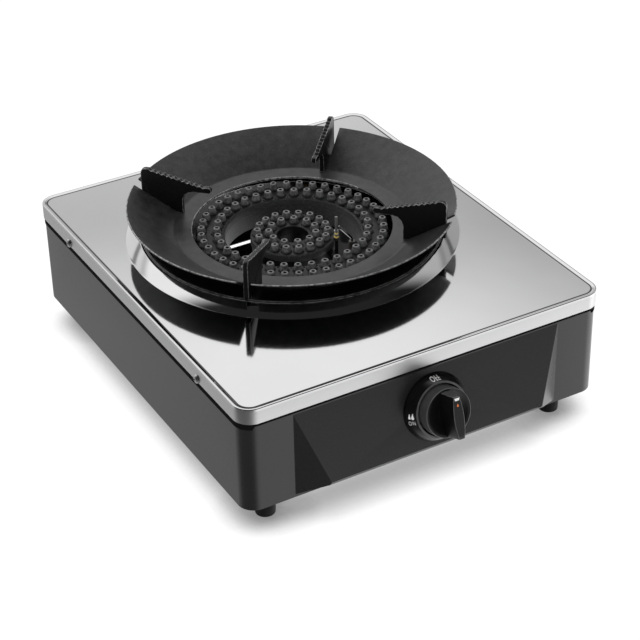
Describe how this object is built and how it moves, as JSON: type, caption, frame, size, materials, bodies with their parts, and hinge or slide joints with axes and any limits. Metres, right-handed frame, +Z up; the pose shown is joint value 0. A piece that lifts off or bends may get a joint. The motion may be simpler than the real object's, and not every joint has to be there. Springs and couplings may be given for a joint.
{
  "type": "single burner gas stove",
  "caption": "Table gas stove: steel lid on a black sheet casing, ring burner under a dished wok shield with toothed pan prongs, push-and-turn dial on a leaning front, rear hose inlet.",
  "frame": {"origin": "on the floor under the middle of the whole part, which is also under the middle of the lid", "axes": "+Z up, +Y from the control panel to the rear, +X to the right as seen from the front"},
  "size_m": [0.3148, 0.4462, 0.1535],
  "materials": {
    "polished_steel": "mirror-polished stainless sheet",
    "black_paint": "satin black powder coat",
    "black_enamel": "satin black heat-proof enamel",
    "cast_iron": "matt grey-black cast iron",
    "bezel_plastic": "glossy black",
    "knob_plastic": "satin black",
    "foot_rubber": "black rubber",
    "brass": "plain machined brass",
    "plain_steel": "bright zinc-plated steel",
    "pipe_aluminium": "drawn tube",
    "white_ceramic": "glazed ceramic",
    "black_plastic": "black insulation"
  },
  "bodies": {
    "stove": {"top_plate": "polished_steel", "body_shell": "black_paint", "burner_body": "cast_iron", "dial_bezel": "bezel_plastic", "rubber_feet": "foot_rubber", "inlet_washer": "foot_rubber", "outer_injector": "brass", "inner_injector": "brass", "injector_block": "brass", "valve_body": "brass", "thermocouple": "brass", "hose_inlet": "brass", "inlet_nut": "brass", "lid_screws": "plain_steel", "foot_screws": "plain_steel", "burner_bracket": "plain_steel", "bracket_screws": "plain_steel", "burner_screws": "plain_steel", "valve_screws": "plain_steel", "valve_return_spring": "plain_steel", "spark_electrode": "plain_steel", "ignition_bracket": "plain_steel", "valve_outlet_pipe": "pipe_aluminium", "gas_supply_pipe": "pipe_aluminium", "electrode_insulator": "white_ceramic", "piezo_igniter": "black_plastic", "ignition_lead": "black_plastic", "thermocouple_lead": "black_plastic"},
    "base_ring": {"base_ring": "black_enamel"},
    "pan_support": {"wok_shield": "black_enamel", "prong_front_left": "black_enamel", "prong_front_right": "black_enamel", "prong_back_left": "black_enamel", "prong_back_right": "black_enamel"},
    "outer_head": {"outer_burner_head": "cast_iron"},
    "inner_head": {"inner_burner_head": "cast_iron"},
    "outer_shutter": {"outer_air_shutter": "plain_steel"},
    "inner_shutter": {"inner_air_shutter": "plain_steel"},
    "valve_push": {"valve_plunger": "brass"},
    "knob": {"control_knob": "knob_plastic", "knob_clip": "plain_steel", "valve_spindle": "brass"}
  },
  "joints": [
    {"name": "base_ring_lift", "type": "slide", "parent": "stove", "child": "base_ring", "axis": [0, 0, 1], "range_m": [0, 0.03]},
    {"name": "pan_support_lift", "type": "slide", "parent": "base_ring", "child": "pan_support", "axis": [0, 0, 1], "range_m": [0, 0.04]},
    {"name": "outer_head_lift", "type": "slide", "parent": "stove", "child": "outer_head", "axis": [0, 0, 1], "range_m": [0, 0.012]},
    {"name": "inner_head_lift", "type": "slide", "parent": "stove", "child": "inner_head", "axis": [0, 0, 1], "range_m": [0, 0.012]},
    {"name": "outer_shutter_turn", "type": "hinge", "parent": "stove", "child": "outer_shutter", "pos_m": [0.02, -0.084, 0.0765], "axis": [0, 1, 0], "range_deg": [-40, 40]},
    {"name": "inner_shutter_turn", "type": "hinge", "parent": "stove", "child": "inner_shutter", "pos_m": [-0.02, -0.084, 0.0765], "axis": [0, 1, 0], "range_deg": [-40, 40]},
    {"name": "knob_push", "type": "slide", "parent": "stove", "child": "valve_push", "axis": [0, 0.9638, -0.2668], "range_m": [0, 0.0035], "stiffness_N_per_m": 1500, "springref_m": -0.004, "deforming": ["valve_return_spring"]},
    {"name": "knob_turn", "type": "hinge", "parent": "valve_push", "child": "knob", "pos_m": [0, -0.1862, 0.06598], "axis": [0, -0.9638, 0.2668], "range_deg": [0, 90]}
  ]
}
